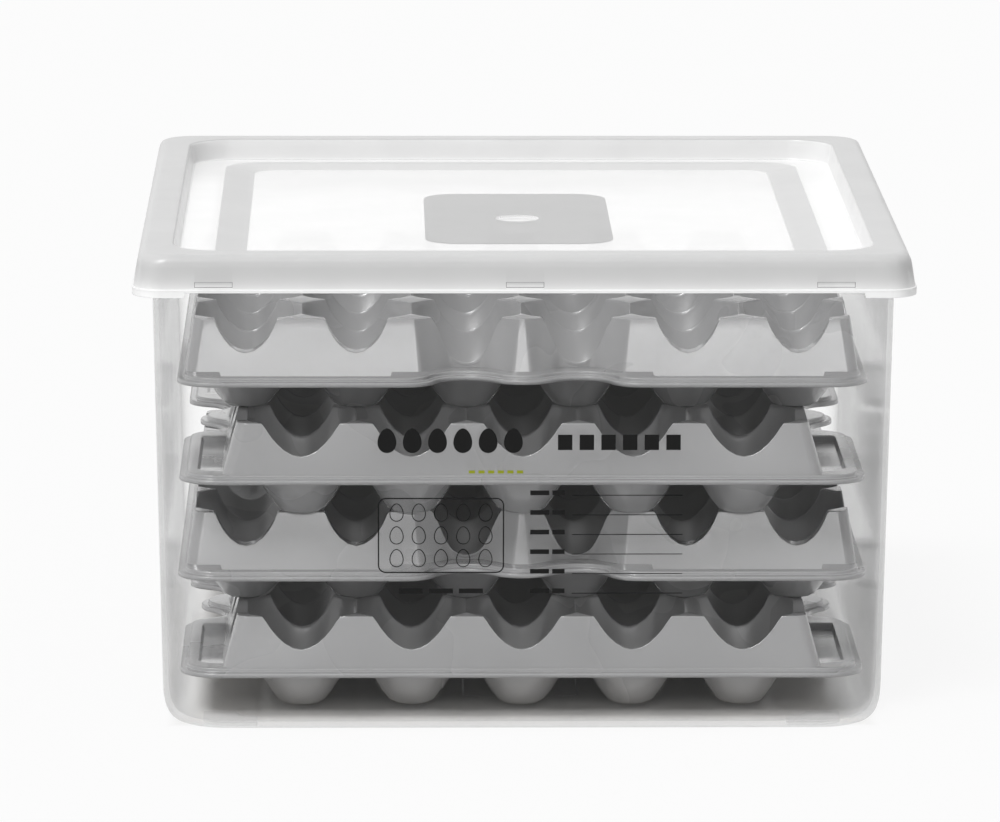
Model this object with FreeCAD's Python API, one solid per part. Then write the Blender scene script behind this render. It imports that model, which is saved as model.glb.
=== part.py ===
"""Egg storage container: a clear stackable box with a snap lid and four moulded egg trays.

Millimetres. The origin is the middle of the face that the box stands on, +Z is up and
the front of the box faces -Y. Each tray is turned a quarter turn against the one below,
so that its cups stand on the posts of that tray.
"""
import FreeCAD
import Part

import math
import os

V = FreeCAD.Vector
UP = V(0, 0, 1)

# Footprint and heights of the box
FOOTPRINT_W = 325.0
FOOTPRINT_D = 354.0
RIM_HEIGHT = 202.1
FOOT_HEIGHT = 1.2
FLOOR = 2.2
BOX_WALL = 2.3
BOX_OVERHANG = 7.5
BOX_DRAFT_DEG = 1.16
BOX_CORNER_R = 26.0
BOX_BOTTOM_R = 16.0
FLANGE_HEIGHT = 8.5
FOOT_WIDTH = 14.0
FOOT_RUN = 23.0
FOOT_INSET = 0.5
FOOT_OUTER_R = 10.0
FOOT_INNER_R = 8.0
MARK_PAD_W = 49.0
MARK_PAD_D = 34.0
MARK_PAD_DEPTH = 0.4
MARK_PAD_FRONT = 107.0

# Lid
LID_WALL = 2.2
LID_SKIRT = 15.4
LID_SKIRT_DRAFT = 2.67
LID_CORNER_R = 12.0
LID_TOP_R = 4.5
LID_HEM_H = 1.3
LID_HEM_OUT = 0.4
LID_FIT = 0.6
LID_RIM_W = 14.0
LID_POCKET_DEPTH = 9.3
LID_POCKET_DRAFT = 1.5
LID_POCKET_R = 20.0
LID_BAND_OUTER_W = 259.0
LID_BAND_OUTER_D = 303.2
LID_BAND_INNER_W = 232.6
LID_BAND_INNER_D = 285.4
LID_BAND_OUTER_R = 18.0
LID_BAND_INNER_R = 10.0
LID_BAND_DROP = 2.5
LID_PATCH_W = 80.0
LID_PATCH_D = 139.0
LID_PATCH_R = 14.0
LID_PATCH_RAISE = 0.3
LID_GATE_D = 19.0
LID_GATE_DEPTH = 0.8
PRY_TAB_DROP = 2.0
PRY_TAB_RUN = 22.0
SNAP_BEAD_L = 15.3
SNAP_BEAD_H = 1.8
SNAP_BEAD_OUT = 0.5
SNAP_BEAD_LIFT = 2.5
SNAP_WINDOW_DEPTH = 0.6
SNAP_BEAD_PITCH = 128.5

# Egg tray, modelled with its cup bottoms at z = 0 and its long rows along X
CUP_PITCH = 46.5
CUPS_LONG = 6
CUPS_SHORT = 5
TRAY_HEIGHT = 41.3
TRAY_WALL = 1.2
CUP_BOTTOM_R = 8.8
CUP_BOTTOM_EDGE_R = 3.5
CUP_SADDLE_HEIGHT = 28.3
CUP_MOUTH_R = 27.0
CUP_OVERRUN = 2.0
RIM_UNDERSIDE = 16.3
RIM_STEP_Z = 18.2
RIM_BEAD_Z = 19.8
RIM_STEP_W = 3.0
RIM_CORNER_R = 16.0
RIM_LONG = 290.0
RIM_SHORT = 288.4
END_WALL_TOP = -1.2
END_WALL_FOOT = 2.5
SIDE_WALL_TOP = 3.75
SIDE_WALL_FOOT = 10.75
TRAY_CORNER_R = 5.0
POCKET_W = 9.0
POCKET_DEPTH = 2.0
POCKET_GAP = 6.0
GRIP_DEPTH = 16.7
GRIP_CREST = 6.0
GRIP_PITCH = 49.0
GRIP_PANEL_R = 21.2
GRIP_NOSE_FOOT = 4.25
GRIP_NOSE_TOP = 1.1
GRIP_PANEL_FOOT = 5.65
GRIP_PANEL_TOP = 9.95
TRAY_COUNT = 4

# Places that follow from the sizes above
FLOOR_TOP = FOOT_HEIGHT + FLOOR
LID_TOP = RIM_HEIGHT + LID_WALL
LID_BOTTOM = LID_TOP - LID_SKIRT
CELLS_X = CUPS_LONG * CUP_PITCH / 2
CELLS_Y = CUPS_SHORT * CUP_PITCH / 2
HALF_PITCH = CUP_PITCH / 2


def rounded_rect(half_x, half_y, radius, z):
    """Closed wire of a rectangle with round corners, flat at height z."""
    inner_x = half_x - radius
    inner_y = half_y - radius
    diagonal = radius * math.sqrt(0.5)
    edges = []
    for turn, (a, b) in enumerate([(half_x, half_y), (half_y, half_x)] * 2):
        in_a, in_b = (inner_x, inner_y) if turn % 2 == 0 else (inner_y, inner_x)
        side = Part.LineSegment(V(a, -in_b, z), V(a, in_b, z))
        corner = Part.Arc(V(a, in_b, z), V(in_a + diagonal, in_b + diagonal, z), V(in_a, b, z))
        for curve in (side, corner):
            edge = curve.toShape()
            edge.rotate(V(0, 0, 0), UP, 90 * turn)
            edges.append(edge)
    return Part.Wire(edges)


def prism(wire, height):
    """Solid of a flat wire drawn straight up."""
    return Part.Face(wire).extrude(V(0, 0, height))


def frustum(low, high):
    """Solid between two rounded rectangles, each given as half_x, half_y, radius, z."""
    return Part.makeLoft([rounded_rect(*low), rounded_rect(*high)], True, True)


def block(x0, x1, y0, y1, z0, z1):
    """Box between two corners."""
    return Part.makeBox(x1 - x0, y1 - y0, z1 - z0, V(x0, y0, z0))


def ring_edges(solid, z):
    """Edges of a solid that lie flat at height z."""
    return [e for e in solid.Edges if abs(e.BoundBox.ZMin - z) < 1e-4 and abs(e.BoundBox.ZMax - z) < 1e-4]


def corner_pieces(ring, half_x, half_y, run):
    """The four corners of a ring, each reaching a run along both of its sides."""
    box = ring.BoundBox
    corners = []
    for sx in (-1, 1):
        for sy in (-1, 1):
            x = sorted((sx * half_x, sx * (half_x - run)))
            y = sorted((sy * half_y, sy * (half_y - run)))
            corners.append(ring.common(block(*x, *y, box.ZMin, box.ZMax)))
    return corners


def box_half(z, inset):
    """Half width and half depth of the box body at height z, moved in by a wall."""
    taper = (RIM_HEIGHT - z) * math.tan(math.radians(BOX_DRAFT_DEG))
    half_w = FOOTPRINT_W / 2 - BOX_OVERHANG - taper - inset
    half_d = FOOTPRINT_D / 2 - BOX_OVERHANG - taper - inset
    return half_w, half_d


def box_body(z0, z1, inset, corner_r, bottom_r):
    """Drafted tub shape with a rounded bottom edge."""
    low = (*box_half(z0, inset), corner_r, z0)
    high = (*box_half(z1, inset), corner_r, z1)
    body = frustum(low, high)
    return body.makeFillet(bottom_r, ring_edges(body, z0))


def lid_skirt_half(z, inset):
    """Half width and half depth of the lid's skirt at height z, moved in by a wall."""
    lean = LID_HEM_OUT + (LID_SKIRT_DRAFT - LID_HEM_OUT) * (z - LID_BOTTOM) / LID_SKIRT
    return FOOTPRINT_W / 2 - lean - inset, FOOTPRINT_D / 2 - lean - inset


def lid_skirt_shape(z0, z1, inset):
    """Drafted block inside the lid's skirt, between two heights."""
    radius = LID_CORNER_R - inset
    return frustum((*lid_skirt_half(z0, inset), radius, z0), (*lid_skirt_half(z1, inset), radius, z1))


def box_flange():
    """Thick rim that the lid snaps over."""
    return lid_skirt_shape(RIM_HEIGHT - FLANGE_HEIGHT, RIM_HEIGHT, LID_WALL + LID_FIT)


def box_feet(base_half_w, base_half_d):
    """Low L-shaped pads under the four corners of the base."""
    half_w = base_half_w - FOOT_INSET
    half_d = base_half_d - FOOT_INSET
    outer = prism(rounded_rect(half_w, half_d, FOOT_OUTER_R, 0), FOOT_HEIGHT)
    inner = prism(rounded_rect(half_w - FOOT_WIDTH, half_d - FOOT_WIDTH, FOOT_INNER_R, 0), FOOT_HEIGHT)
    return corner_pieces(outer.cut(inner), half_w, half_d, FOOT_RUN)


def container():
    """Clear drafted tub with a flanged rim, corner feet and a mark pad in its base."""
    outer = box_body(FOOT_HEIGHT, RIM_HEIGHT, 0, BOX_CORNER_R, BOX_BOTTOM_R)
    cavity = box_body(FLOOR_TOP, RIM_HEIGHT, BOX_WALL, BOX_CORNER_R - BOX_WALL, BOX_BOTTOM_R - BOX_WALL)
    half_w, half_d = box_half(FOOT_HEIGHT, BOX_BOTTOM_R)
    body = outer.fuse(box_flange()).fuse(box_feet(half_w, half_d))
    pad = block(-MARK_PAD_W / 2, MARK_PAD_W / 2, -MARK_PAD_FRONT, MARK_PAD_D - MARK_PAD_FRONT,
                FOOT_HEIGHT, FOOT_HEIGHT + MARK_PAD_DEPTH)
    return body.cut(cavity).cut(pad).removeSplitter()


def lid_pocket(grow):
    """Space sunk into the lid's top: straight pocket, sloped band and flat panel, grown by a wall."""
    top_w, top_d = lid_skirt_half(LID_TOP, LID_RIM_W - grow)
    ledge = LID_TOP - LID_POCKET_DEPTH - grow
    panel = ledge - LID_BAND_DROP
    lip = (top_w, top_d, LID_POCKET_R + grow, LID_TOP)
    foot = (top_w - LID_POCKET_DRAFT, top_d - LID_POCKET_DRAFT, LID_POCKET_R + grow, ledge)
    band_top = (LID_BAND_OUTER_W / 2 + grow, LID_BAND_OUTER_D / 2 + grow, LID_BAND_OUTER_R + grow, ledge)
    band_foot = (LID_BAND_INNER_W / 2 + grow, LID_BAND_INNER_D / 2 + grow, LID_BAND_INNER_R + grow, panel)
    return frustum(foot, lip).fuse(frustum(band_foot, band_top))


def snap_marks(outer_inset, inner_inset):
    """Short bars along each side of the skirt, between two depths in its wall."""
    z0 = LID_BOTTOM + SNAP_BEAD_LIFT
    z1 = z0 + SNAP_BEAD_H
    band = lid_skirt_shape(z0, z1, outer_inset).cut(lid_skirt_shape(z0, z1, inner_inset))
    reach = FOOTPRINT_D / 2
    bars = []
    for step in (-1, 0, 1):
        a = step * SNAP_BEAD_PITCH - SNAP_BEAD_L / 2
        b = a + SNAP_BEAD_L
        bars.append(band.common(block(a, b, -reach, reach, z0, z1)))
        bars.append(band.common(block(-reach, reach, a, b, z0, z1)))
    return [solid for bar in bars for solid in bar.Solids]


def hem_ring(z, height):
    """Ring under and around the skirt's lower edge, from height z up."""
    half_w = FOOTPRINT_W / 2
    half_d = FOOTPRINT_D / 2
    thick = LID_WALL + LID_HEM_OUT
    outer = prism(rounded_rect(half_w, half_d, LID_CORNER_R + LID_HEM_OUT, z), height)
    return outer.cut(prism(rounded_rect(half_w - thick, half_d - thick, LID_CORNER_R - LID_WALL, z), height))


def lid_hem():
    """Hem along the skirt's lower edge, with corners that hang lower to lift the lid by."""
    tabs = hem_ring(LID_BOTTOM - PRY_TAB_DROP, PRY_TAB_DROP)
    corners = corner_pieces(tabs, FOOTPRINT_W / 2, FOOTPRINT_D / 2, PRY_TAB_RUN)
    return [hem_ring(LID_BOTTOM, LID_HEM_H)] + corners


def lid():
    """Snap lid with a sunken panel, a patch in its middle and pry tabs at its corners."""
    outer = lid_skirt_shape(LID_BOTTOM, LID_TOP, 0)
    outer = outer.makeFillet(LID_TOP_R, ring_edges(outer, LID_TOP))
    hollow = lid_skirt_shape(LID_BOTTOM, RIM_HEIGHT, LID_WALL)
    shell = outer.cut(hollow).fuse(lid_pocket(LID_WALL))
    beads = snap_marks(LID_WALL / 2, LID_WALL + SNAP_BEAD_OUT)
    windows = snap_marks(0, SNAP_WINDOW_DEPTH)
    shell = shell.fuse(beads + lid_hem()).cut(windows + [lid_pocket(0)])
    panel = LID_TOP - LID_POCKET_DEPTH - LID_BAND_DROP
    patch = prism(rounded_rect(LID_PATCH_W / 2, LID_PATCH_D / 2, LID_PATCH_R, panel), LID_PATCH_RAISE)
    gate = Part.makeCylinder(LID_GATE_D / 2, LID_GATE_DEPTH + LID_PATCH_RAISE, V(0, 0, panel - LID_GATE_DEPTH))
    return shell.fuse(patch).cut(gate).removeSplitter()


def cup_solid(grow, top):
    """Flared egg cup on the Z axis, grown by a wall and closed at the height top."""
    bottom = TRAY_WALL - grow
    bottom_r = CUP_BOTTOM_R + grow
    saddle = V(HALF_PITCH + grow, 0, CUP_SADDLE_HEIGHT)
    mouth = V(CUP_MOUTH_R + grow, 0, TRAY_HEIGHT)
    flank = Part.Arc(V(bottom_r, 0, bottom), saddle, mouth).toShape()
    edges = [Part.makeLine(V(0, 0, bottom), V(bottom_r, 0, bottom)), flank]
    corners = [mouth]
    if top > TRAY_HEIGHT:
        corners.append(V(mouth.x, 0, top))
    corners += [V(0, 0, top), V(0, 0, bottom)]
    edges += [Part.makeLine(a, b) for a, b in zip(corners, corners[1:])]
    cup = Part.Face(Part.Wire(edges)).revolve(V(0, 0, 0), UP, 360)
    return cup.makeFillet(CUP_BOTTOM_EDGE_R + grow, ring_edges(cup, bottom))


def cup_cells(grow, top, reach):
    """All cups cut to their square cells, with the outer ones drawn on through the tray's walls."""
    cell = cup_solid(grow, top).common(block(-HALF_PITCH, HALF_PITCH, -HALF_PITCH, HALF_PITCH, -1, top))
    spouts = {}
    for sx, sy in ((1, 0), (-1, 0), (0, 1), (0, -1)):
        centre = V(sx * HALF_PITCH, sy * HALF_PITCH, 0)
        side = [f for f in cell.Faces if abs((f.CenterOfMass - centre).dot(V(sx, sy, 0))) < 1e-6]
        spouts[(sx, sy)] = [f.extrude(V(sx * reach, sy * reach, 0)) for f in side]
    cells = []
    for i in range(CUPS_LONG):
        for j in range(CUPS_SHORT):
            place = V((i + 0.5) * CUP_PITCH - CELLS_X, (j + 0.5) * CUP_PITCH - CELLS_Y, 0)
            open_sides = [(-1, 0)] * (i == 0) + [(1, 0)] * (i == CUPS_LONG - 1)
            open_sides += [(0, -1)] * (j == 0) + [(0, 1)] * (j == CUPS_SHORT - 1)
            for shape in [cell] + [s for side in open_sides for s in spouts[side]]:
                cells.append(shape.translated(place))
    return cells


def tray_core(inset):
    """Sloped block inside the tray's four walls, moved in by a wall."""
    low = (CELLS_X + END_WALL_FOOT - inset, CELLS_Y + SIDE_WALL_FOOT - inset, TRAY_CORNER_R, RIM_UNDERSIDE)
    top = (CELLS_X + END_WALL_TOP - inset, CELLS_Y + SIDE_WALL_TOP - inset, TRAY_CORNER_R, TRAY_HEIGHT - inset)
    return frustum(low, top)


def grip_edges(half_y, inset, z):
    """Wavy edge of the rim along a long side, with two finger recesses and a lower crest between them."""
    dip_x = GRIP_PITCH / 2
    stations = [(-GRIP_PITCH, 0), (-dip_x, GRIP_DEPTH), (0, GRIP_CREST), (dip_x, GRIP_DEPTH), (GRIP_PITCH, 0)]
    edges = []
    for (x0, depth0), (x1, depth1) in zip(stations, stations[1:]):
        fall = depth1 - depth0
        bend = ((x1 - x0) ** 2 + fall ** 2) / (4 * abs(fall))
        first_bulge = 1 if fall > 0 else -1
        first = V(x0, half_y - depth0 - first_bulge * bend, z)
        last = V(x1, half_y - depth1 + first_bulge * bend, z)
        for centre, other, bulge in ((first, last, first_bulge), (last, first, -first_bulge)):
            radius = bend - bulge * inset
            outer = V(0, bulge, 0)
            inner = (other - centre).normalize()
            middle = (outer + inner).normalize()
            points = [centre + direction * radius for direction in (outer, middle, inner)]
            edges.append(Part.Arc(*points).toShape())
    return edges


def rim_outline(inset, z):
    """Closed outline of the tray's rim, moved in by a width."""
    half_x = RIM_LONG / 2 - inset
    half_y = RIM_SHORT / 2
    radius = RIM_CORNER_R - inset
    wave = grip_edges(half_y, inset, z)
    start = -half_x + radius
    top_y = half_y - inset
    first = min(v.Point.x for e in wave for v in e.Vertexes)
    mid = radius * math.sqrt(0.5)
    half_ring = [Part.makeLine(V(start, top_y, z), V(first, top_y, z))] + wave
    half_ring.append(Part.makeLine(V(-first, top_y, z), V(-start, top_y, z)))
    low_y = top_y - radius
    half_ring.append(Part.Arc(V(-start, top_y, z), V(mid - start, low_y + mid, z), V(half_x, low_y, z)).toShape())
    half_ring.append(Part.makeLine(V(half_x, low_y, z), V(half_x, -low_y, z)))
    half_ring.append(Part.Arc(V(half_x, -low_y, z), V(mid - start, -low_y - mid, z), V(-start, -top_y, z)).toShape())
    other = [e.copy() for e in half_ring[:-3]]
    for edge in other:
        edge.rotate(V(0, 0, 0), UP, 180)
    closing = [e.copy() for e in half_ring[-3:]]
    for edge in closing:
        edge.rotate(V(0, 0, 0), UP, 180)
    return Part.Wire(Part.__sortEdges__(half_ring + other + closing))


def rim_block(inset):
    """Stepped rim as a full block, moved in by a wall on every side."""
    step = prism(rim_outline(inset, RIM_UNDERSIDE), RIM_STEP_Z - inset - RIM_UNDERSIDE)
    bead = prism(rim_outline(RIM_STEP_W + inset, RIM_UNDERSIDE), RIM_BEAD_Z - inset - RIM_UNDERSIDE)
    return step.fuse(bead)


def grip_cut(grow):
    """Four pockets that let the fingers reach the outer cups next to the middle of a long side."""
    panel_y = CELLS_Y - HALF_PITCH + GRIP_PANEL_R - grow
    outside = RIM_SHORT / 2
    outline = {}
    for z, nose, panel, wall in (
        (RIM_UNDERSIDE, GRIP_NOSE_FOOT, GRIP_PANEL_FOOT, SIDE_WALL_FOOT),
        (TRAY_HEIGHT, GRIP_NOSE_TOP, GRIP_PANEL_TOP, SIDE_WALL_TOP),
    ):
        mouth = HALF_PITCH - nose
        run = CELLS_Y + wall - (CELLS_Y - HALF_PITCH + GRIP_PANEL_R)
        spread = grow * math.hypot(mouth - panel, run) / run
        half = [(panel + spread, panel_y), (mouth + spread, panel_y + run), (mouth + spread, outside)]
        points = [V(x, y, z) for x, y in half] + [V(-x, y, z) for x, y in reversed(half)]
        outline[z] = Part.makePolygon(points + points[:1])
    cut = Part.makeLoft(list(outline.values()), True, True)
    cuts = []
    for turn in (0, 180):
        for x in (-HALF_PITCH, HALF_PITCH):
            piece = cut.translated(V(x, 0, 0))
            piece.rotate(V(0, 0, 0), UP, turn)
            cuts.append(piece)
    return cuts


def ledge_pockets(grow):
    """Shallow troughs in the ledge beside the finger recesses."""
    floor = RIM_BEAD_Z - POCKET_DEPTH - grow
    y0 = CELLS_Y + SIDE_WALL_FOOT
    x0 = GRIP_PITCH + POCKET_GAP
    x1 = RIM_LONG / 2 - RIM_CORNER_R
    pockets = []
    for sx in (-1, 1):
        for sy in (-1, 1):
            x = sorted((sx * (x0 - grow), sx * (x1 + grow)))
            y = sorted((sy * (y0 - grow), sy * (y0 + POCKET_W + grow)))
            pockets.append(block(*x, *y, floor, RIM_BEAD_Z))
    return pockets


def egg_tray():
    """Thin moulded tray of flared cups and hollow posts, with sloped walls and a stepped rim."""
    core = tray_core(0).cut(grip_cut(0))
    hollow_core = tray_core(TRAY_WALL).cut(grip_cut(TRAY_WALL))
    rim = rim_block(0).cut(ledge_pockets(0))
    hollow_rim = rim_block(TRAY_WALL).cut(ledge_pockets(TRAY_WALL))
    outer = core.fuse(rim)
    hollow = hollow_core.fuse(hollow_rim)
    under = block(-CELLS_X, CELLS_X, -CELLS_Y, CELLS_Y, -1, RIM_UNDERSIDE)
    keep = core.fuse(under)
    reach = SIDE_WALL_FOOT + TRAY_WALL
    walls = cup_cells(TRAY_WALL, TRAY_HEIGHT, reach)
    walls = walls[0].multiFuse(walls[1:]).common(keep)
    bowls = cup_cells(0, TRAY_HEIGHT + CUP_OVERRUN, reach)
    bowls = bowls[0].multiFuse(bowls[1:])
    return outer.cut(hollow).fuse(walls).cut(bowls).removeSplitter()


def main():
    os.makedirs("parts", exist_ok=True)
    pieces = {"container": container(), "lid": lid()}
    tray = egg_tray()
    for number in range(1, TRAY_COUNT + 1):
        from_floor = TRAY_COUNT - number
        placed = tray.copy()
        placed.rotate(V(0, 0, 0), UP, 90 * (from_floor + 1))
        placed.translate(V(0, 0, FLOOR_TOP + from_floor * TRAY_HEIGHT))
        pieces[f"egg_tray_{number}"] = placed
    for name, shape in pieces.items():
        box = shape.BoundBox
        print(f"{name:12s} solids {len(shape.Solids)} valid {shape.isValid()} faces {len(shape.Faces)}"
              f" volume {shape.Volume / 1000:.1f} cm3 size {box.XLength:.2f} {box.YLength:.2f} {box.ZLength:.2f}")
        shape.exportStep(f"parts/{name}.step")


if __name__ == "__main__":
    main()
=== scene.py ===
"""Looks of an egg storage container: clear box, translucent lid, four grey egg trays, plain printing."""

import math

import bmesh
import bpy
import numpy as np
from mathutils import Matrix, Vector


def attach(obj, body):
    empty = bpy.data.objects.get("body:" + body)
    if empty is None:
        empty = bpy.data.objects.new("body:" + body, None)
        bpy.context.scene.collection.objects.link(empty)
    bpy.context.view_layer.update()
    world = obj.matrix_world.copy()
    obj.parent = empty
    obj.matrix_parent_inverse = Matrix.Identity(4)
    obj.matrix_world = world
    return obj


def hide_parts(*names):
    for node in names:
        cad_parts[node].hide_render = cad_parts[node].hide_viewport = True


bl_info = {
    "name": "Egg storage container",
    "version": (1, 0, 0),
    "blender": (4, 5, 0),
    "location": "View3D > Sidebar > Egg box",
    "description": "Builds the looks of an egg storage container around its packed parts",
    "category": "Object",
}

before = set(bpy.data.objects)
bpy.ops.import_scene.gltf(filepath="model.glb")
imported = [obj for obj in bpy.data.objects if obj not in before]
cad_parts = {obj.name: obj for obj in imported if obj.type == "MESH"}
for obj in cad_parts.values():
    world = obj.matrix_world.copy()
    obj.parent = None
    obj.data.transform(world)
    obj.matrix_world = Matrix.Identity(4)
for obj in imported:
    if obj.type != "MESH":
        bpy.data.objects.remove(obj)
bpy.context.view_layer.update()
MM = 0.001


def size(name, description, default):
    """Length property, kept in metres and given here in millimetres."""
    return bpy.props.FloatProperty(
        name=name, description=description, default=default * MM, unit="LENGTH", precision=5)


def paint(name, description, default):
    """Colour property."""
    return bpy.props.FloatVectorProperty(
        name=name, description=description, default=default, subtype="COLOR")


class EggBoxSizes(bpy.types.PropertyGroup):
    """Sizes of the clear box and of the lid on it."""

    half_w: size("Half width", "Half of the lid's width", 162.5)
    half_d: size("Half depth", "Half of the lid's depth", 177.0)
    rim_z: size("Rim height", "Top of the box's rim", 202.1)
    foot: size("Foot height", "Height of the pads under the corners", 1.2)
    floor: size("Floor", "Thickness of the floor", 2.2)
    wall: size("Wall", "Thickness of the walls", 2.3)
    overhang: size("Overhang", "How far the lid stands out over the walls", 7.5)
    draft: bpy.props.FloatProperty(
        name="Draft", description="Lean of the walls", default=math.radians(1.16), subtype="ANGLE")
    corner: size("Corner", "Radius of the upright corners", 26.0)
    bottom: size("Bottom edge", "Radius of the bottom edge", 16.0)
    flange: size("Flange", "Height of the thick rim", 8.5)
    lid_wall: size("Lid wall", "Thickness of the lid", 2.2)
    lid_skirt: size("Skirt", "Height of the lid's skirt", 15.4)
    lid_corner: size("Lid corner", "Radius of the lid's corners", 12.0)
    lid_lean: size("Skirt lean", "How much narrower the skirt is at its top", 2.27)
    lid_hem: size("Hem", "How far the hem stands out", 0.4)
    lid_rim: size("Lid rim", "Width of the lid's raised rim", 14.0)
    lid_sunk: size("Sunk", "Depth of the ledge inside the rim", 9.3)
    well_corner: size("Well corner", "Radius of the corners inside the lid's rim", 20.0)


class EggTraySizes(bpy.types.PropertyGroup):
    """Sizes of one egg tray."""

    pitch: size("Pitch", "Distance between cups", 46.5)
    height: size("Height", "Height of the posts over the cup bottoms", 41.3)
    wall: size("Wall", "Thickness of the moulding", 1.2)
    bottom_r: size("Bottom radius", "Radius of a cup's flat bottom", 8.8)
    saddle_z: size("Saddle", "Height of the saddle between two cups", 28.3)
    mouth_r: size("Mouth radius", "Radius of a cup at the post tops, before rounding", 26.6)
    edge: size("Inner edge", "Rounding of the edges between cups", 0.4)
    rim_edge: size("Outer edge", "Rounding of the edges of the walls", 0.45)


class EggBoxColours(bpy.types.PropertyGroup):
    """Colours of the trays and of the printing."""

    tray: paint("Tray", "Grey of the egg trays", (0.255, 0.255, 0.2576))
    ink: paint("Ink", "Colour of the printing", (0.012, 0.012, 0.012))
    small_ink: paint("Second ink", "Colour of the row of small bars", (0.24, 0.27, 0.02))


class EggBoxStage(bpy.types.PropertyGroup):
    """Camera and light."""

    lens: bpy.props.FloatProperty(name="Lens", description="Focal length in millimetres", default=263.84)
    key: bpy.props.FloatProperty(name="Key light", description="Strength of the main light", default=2.4)
    panel: bpy.props.FloatProperty(
        name="Front panel", description="Power of the soft panel in front", default=8.0)
    sky: bpy.props.FloatProperty(
        name="Sky", description="Strength of the light from all round", default=0.4)


def tree_of(material):
    """Empty node tree of a material."""
    material.use_nodes = True
    material.node_tree.nodes.clear()
    return material.node_tree


class Sock:
    """Socket of a node tree that takes part in arithmetic."""

    def __init__(self, tree, socket=None):
        self.tree = tree
        self.socket = socket

    def add(self, kind, out=0, inputs=None, **settings):
        """Adds a node of any kind and returns one of its outputs."""
        node = self.tree.nodes.new(kind)
        for key, value in settings.items():
            setattr(node, key, value)
        for key, value in (inputs or {}).items():
            if isinstance(value, Sock):
                self.tree.links.new(value.socket, node.inputs[key])
            else:
                node.inputs[key].default_value = value
        return Sock(self.tree, node.outputs[out] if len(node.outputs) else None)

    def math(self, operation, *values):
        return self.add("ShaderNodeMath", operation=operation, inputs=dict(enumerate(values)))

    def __add__(self, other):
        return self.math("ADD", self, other)

    def __sub__(self, other):
        return self.math("SUBTRACT", self, other)

    def __mul__(self, other):
        return self.math("MULTIPLY", self, other)

    def __truediv__(self, other):
        return self.math("DIVIDE", self, other)

    def __pow__(self, other):
        return self.math("POWER", self, other)

    def __radd__(self, other):
        return self.math("ADD", other, self)

    def __rsub__(self, other):
        return self.math("SUBTRACT", other, self)

    def __rmul__(self, other):
        return self.math("MULTIPLY", other, self)

    def clamp(self):
        return self.math("MINIMUM", self.math("MAXIMUM", self, 0.0), 1.0)


def noise(sock, scale, detail=2.0):
    """Soft noise over the piece, in its own coordinates."""
    place = sock.add("ShaderNodeTexCoord", out="Object")
    return sock.add("ShaderNodeTexNoise", inputs={"Vector": place, "Scale": scale, "Detail": detail})


def grey(sock, value, tint=(1.0, 1.0, 1.0)):
    """Colour of a varying brightness with a fixed tint."""
    parts = {key: value * part for key, part in zip(("Red", "Green", "Blue"), tint)}
    return sock.add("ShaderNodeCombineColor", inputs=parts)


def tray_material(tint):
    """Grey moulded plastic with a soft sheen, slightly wavy."""
    material = bpy.data.materials.new("grey_tray")
    sock = Sock(tree_of(material))
    cloud = noise(sock, 18.0)
    grain = noise(sock, 900.0, 1.0)
    swell = noise(sock, 15.0, 0.0)
    sag = sock.add("ShaderNodeBump", inputs={"Height": swell, "Strength": 1.0, "Distance": 0.007})
    bump = sock.add("ShaderNodeBump", inputs={
        "Height": grain, "Strength": 0.06, "Distance": 0.0004, "Normal": sag})
    shader = sock.add("ShaderNodeBsdfPrincipled", inputs={
        "Base Color": grey(sock, cloud * 0.1176 + 1.0, tint),
        "Roughness": cloud * 0.1 + 0.22,
        "Coat Weight": cloud * 0.2 + 0.8,
        "Coat Roughness": 0.12,
        "Normal": bump,
    })
    sock.add("ShaderNodeOutputMaterial", inputs={"Surface": shader})
    return material


def clear_material(name, colour, veil, edge, power, rough, shade=0.8):
    """Translucent plastic: a thin veil seen straight on that closes up edge on and lets most light by."""
    material = bpy.data.materials.new(name)
    sock = Sock(tree_of(material))
    facing = sock.add("ShaderNodeLayerWeight", out="Facing", inputs={"Blend": 0.5})
    shadow = sock.add("ShaderNodeLightPath", out="Is Shadow Ray")
    cloud = noise(sock, 25.0)
    cover = (veil + edge * facing ** power + (cloud - 0.5) * (0.25 * veil)) * (1.0 - shade * shadow)
    if callable(colour):
        colour = colour(sock)
    shader = sock.add("ShaderNodeBsdfPrincipled", inputs={
        "Base Color": grey(sock, cloud * 0.02 + colour),
        "Roughness": cloud * 0.08 + rough,
        "IOR": 1.49,
        "Alpha": cover.clamp(),
    })
    sock.add("ShaderNodeOutputMaterial", inputs={"Surface": shader})
    return material


def ink_material(name, tint):
    """Screen printing."""
    material = bpy.data.materials.new(name)
    sock = Sock(tree_of(material))
    cloud = noise(sock, 300.0)
    shader = sock.add("ShaderNodeBsdfPrincipled", inputs={
        "Base Color": grey(sock, cloud * 0.1 + 0.95, tint),
        "Roughness": cloud * 0.1 + 0.4,
        "Specular IOR Level": 0.05,
    })
    sock.add("ShaderNodeOutputMaterial", inputs={"Surface": shader})
    return material


def piece(name, points, faces, materials, zones=None, weld=1e-5):
    """Mesh object from points in metres, with like points welded and smooth shading."""
    mesh = bpy.data.meshes.new(name)
    mesh.from_pydata([tuple(p) for p in points], [], faces)
    for material in materials:
        mesh.materials.append(material)
    if zones is not None:
        mesh.polygons.foreach_set("material_index", zones)
    mesh.polygons.foreach_set("use_smooth", [True] * len(faces))
    work = bmesh.new()
    work.from_mesh(mesh)
    bmesh.ops.remove_doubles(work, verts=work.verts, dist=weld)
    bmesh.ops.dissolve_degenerate(work, edges=work.edges, dist=weld)
    work.to_mesh(mesh)
    work.free()
    mesh.update()
    thing = bpy.data.objects.new(name, mesh)
    bpy.context.scene.collection.objects.link(thing)
    return thing


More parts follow.
